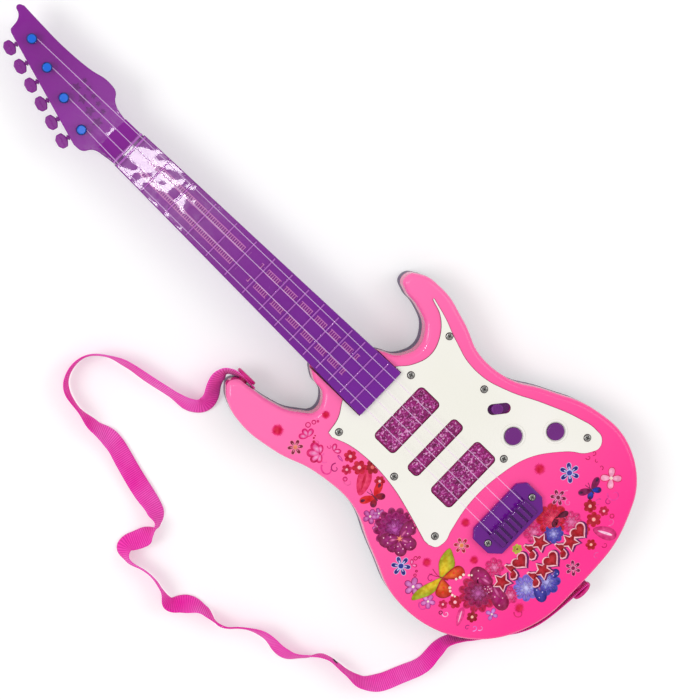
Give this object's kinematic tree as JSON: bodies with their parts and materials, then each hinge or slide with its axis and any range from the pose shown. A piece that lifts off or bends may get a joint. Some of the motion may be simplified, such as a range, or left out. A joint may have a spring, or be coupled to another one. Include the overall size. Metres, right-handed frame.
{
  "type": "toy electric guitar",
  "caption": "Child's electronic toy guitar with a flower-printed body, light-up pickups and neck, push buttons, slide switch, turning pegs, battery bay and a woven shoulder strap.",
  "frame": {"origin": "on the flat back of the body, on the neck's centreline, under the bridge", "axes": "+Y along the neck to the headstock, +Z out of the printed front, +X to the right seen from the front"},
  "size_m": [0.3779, 0.6953, 0.0474],
  "materials": {
    "pink_printed": "glossy, printed with flowers",
    "pink_shell": "satin",
    "cream_gloss": "glossy",
    "bridge_purple": "glossy",
    "purple_gloss": "glossy, slightly translucent",
    "screw_steel": "bright",
    "magenta_window": "clear with glitter",
    "clear_plastic": "clear, ribbed",
    "blue_gloss": "glossy",
    "clear_nylon": "clear",
    "board_green": "satin",
    "led_clear": "clear",
    "dark_plastic": "matt",
    "cell_jacket": "glossy",
    "nickel": "bright",
    "speaker_steel": "plated",
    "cone_paper": "matt",
    "lead_sleeve": "matt",
    "peg_purple": "glossy",
    "strap_webbing": "ribbed webbing"
  },
  "bodies": {
    "guitar": {"front_shell": "pink_printed", "rear_shell": "pink_shell", "pickguard": "cream_gloss", "bridge": "bridge_purple", "neck_front": "purple_gloss", "neck_back": "purple_gloss", "pickguard_screws": "screw_steel", "case_screws": "screw_steel", "bridge_screws": "screw_steel", "neck_case_screws": "screw_steel", "neck_heel_screws": "screw_steel", "speaker_screws": "screw_steel", "main_board_screws": "screw_steel", "strap_rivet": "screw_steel", "pickup_lens_neck": "magenta_window", "pickup_lens_middle": "magenta_window", "pickup_lens_bridge": "magenta_window", "light_pipes_heel_end": "clear_plastic", "light_pipes_nut_end": "clear_plastic", "string_post_1": "blue_gloss", "string_post_2": "blue_gloss", "string_post_3": "blue_gloss", "string_post_4": "blue_gloss", "string_1": "clear_nylon", "string_2": "clear_nylon", "string_3": "clear_nylon", "string_4": "clear_nylon", "pickup_light_boards": "board_green", "main_board": "board_green", "neck_light_board": "board_green", "pickup_leds": "led_clear", "neck_leds": "led_clear", "tact_switches": "dark_plastic", "main_board_parts": "dark_plastic", "switch_body": "dark_plastic", "batteries": "cell_jacket", "battery_contact_plates": "nickel", "battery_contact_springs": "nickel", "speaker_frame": "speaker_steel", "speaker_magnet": "speaker_steel", "speaker_cone": "cone_paper", "battery_leads": "lead_sleeve", "speaker_leads": "lead_sleeve", "neck_light_lead": "lead_sleeve", "strap_peg_horn": "peg_purple", "strap_peg_tail": "peg_purple", "strap": "strap_webbing"},
    "melody_button": {"button_melody": "purple_gloss"},
    "demo_button": {"button_demo": "purple_gloss"},
    "power_switch": {"switch_slider": "purple_gloss", "switch_actuator": "dark_plastic"},
    "battery_cover": {"battery_door": "pink_shell", "battery_door_screw": "screw_steel"},
    "key_1": {"tuning_key_1": "purple_gloss"},
    "key_2": {"tuning_key_2": "purple_gloss"},
    "key_3": {"tuning_key_3": "purple_gloss"},
    "key_4": {"tuning_key_4": "purple_gloss"},
    "key_5": {"tuning_key_5": "purple_gloss"},
    "key_6": {"tuning_key_6": "purple_gloss"}
  },
  "joints": [
    {"name": "melody_button_press", "type": "slide", "parent": "guitar", "child": "melody_button", "axis": [0, 0, -1], "range_m": [0, 0.0014], "stiffness_N_per_m": 600, "springref_m": -0.0004},
    {"name": "demo_button_press", "type": "slide", "parent": "guitar", "child": "demo_button", "axis": [0, 0, -1], "range_m": [0, 0.0014], "stiffness_N_per_m": 600, "springref_m": -0.0004},
    {"name": "power_switch_slide", "type": "slide", "parent": "guitar", "child": "power_switch", "axis": [0.766, -0.6428, 0], "range_m": [0, 0.0034]},
    {"name": "tuning_key_1_turn", "type": "hinge", "parent": "guitar", "child": "key_1", "pos_m": [-0.02644, 0.48948, 0.033], "axis": [-0.9563, 0.2923, 0], "continuous": true},
    {"name": "tuning_key_2_turn", "type": "hinge", "parent": "guitar", "child": "key_2", "pos_m": [-0.02142, 0.50588, 0.033], "axis": [-0.9563, 0.2923, 0], "continuous": true},
    {"name": "tuning_key_3_turn", "type": "hinge", "parent": "guitar", "child": "key_3", "pos_m": [-0.01641, 0.52228, 0.033], "axis": [-0.9563, 0.2923, 0], "continuous": true},
    {"name": "tuning_key_4_turn", "type": "hinge", "parent": "guitar", "child": "key_4", "pos_m": [-0.0114, 0.53868, 0.033], "axis": [-0.9563, 0.2923, 0], "continuous": true},
    {"name": "tuning_key_5_turn", "type": "hinge", "parent": "guitar", "child": "key_5", "pos_m": [-0.00638, 0.55508, 0.033], "axis": [-0.9563, 0.2923, 0], "continuous": true},
    {"name": "tuning_key_6_turn", "type": "hinge", "parent": "guitar", "child": "key_6", "pos_m": [-0.00137, 0.57148, 0.033], "axis": [-0.9563, 0.2923, 0], "continuous": true},
    {"name": "battery_cover_hinge", "type": "hinge", "parent": "guitar", "child": "battery_cover", "pos_m": [0, -0.0146, 0.001], "axis": [1, 0, 0], "range_deg": [0, 90]}
  ]
}
